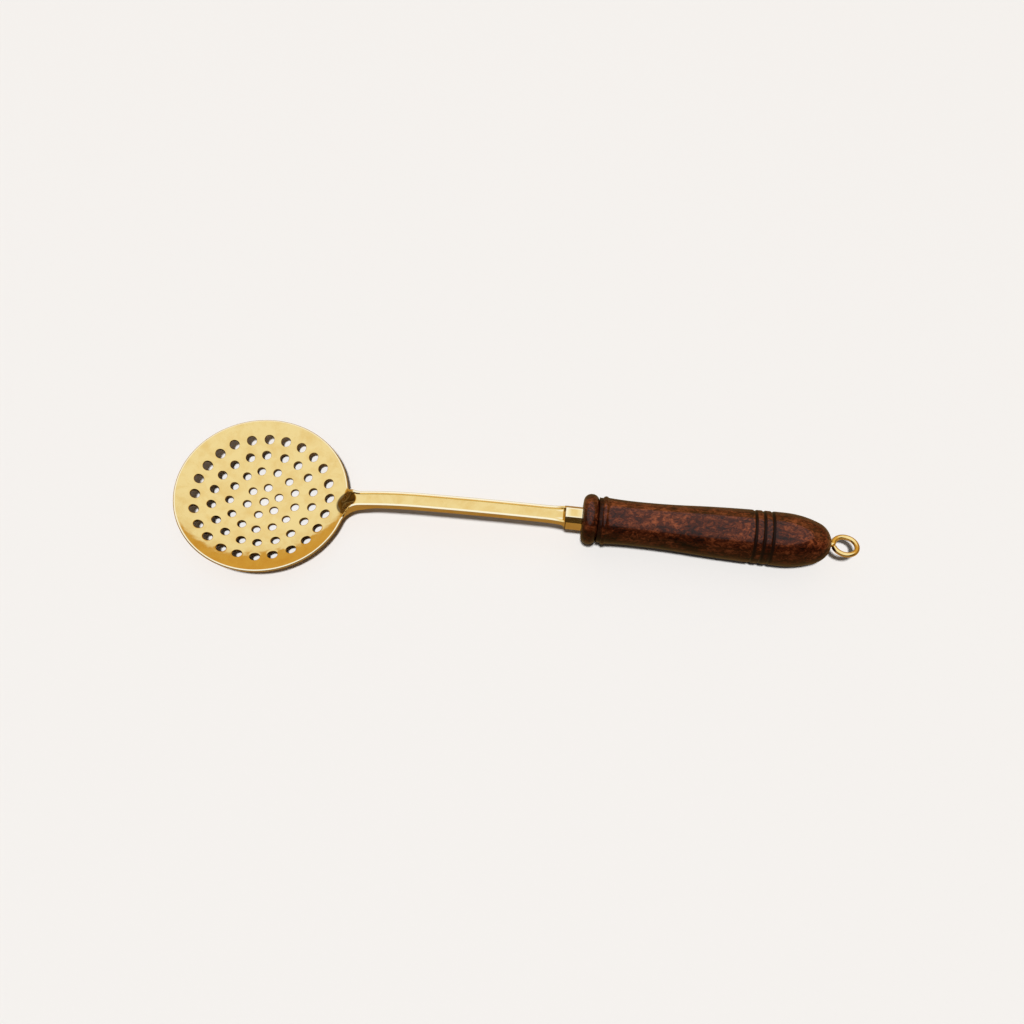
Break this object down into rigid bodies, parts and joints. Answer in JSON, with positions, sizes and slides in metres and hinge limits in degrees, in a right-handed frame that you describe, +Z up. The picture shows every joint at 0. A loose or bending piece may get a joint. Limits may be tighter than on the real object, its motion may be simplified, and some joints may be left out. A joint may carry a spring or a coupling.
{
  "type": "perforated ladle",
  "caption": "Shallow pierced brass dish on an arched, channelled shank, with a turned wooden handle and a bent-wire hanging eye; lies flat on a table.",
  "frame": {"origin": "centre of the bounding box, on the table that the ladle lies on", "axes": "+X from the dish to the hanging eye, along the ladle; +Z up, out of the dish's mouth; +Y across it"},
  "size_m": [0.3735, 0.095, 0.0305],
  "materials": {
    "cast_brass": "cast, then polished all over, with fine hand-polishing marks and slightly warmer, duller hollows",
    "plain_steel": "plain turned steel, hidden inside the handle",
    "varnished_wood": "dark red-brown figured hardwood, turned, with burnt lines and glossy varnish",
    "brass_wire": "drawn brass wire, bent, lightly dulled"
  },
  "bodies": {
    "root": {"ladle_head": "cast_brass", "tang_stud": "plain_steel", "handle": "varnished_wood", "hanging_eye": "brass_wire"}
  },
  "joints": []
}
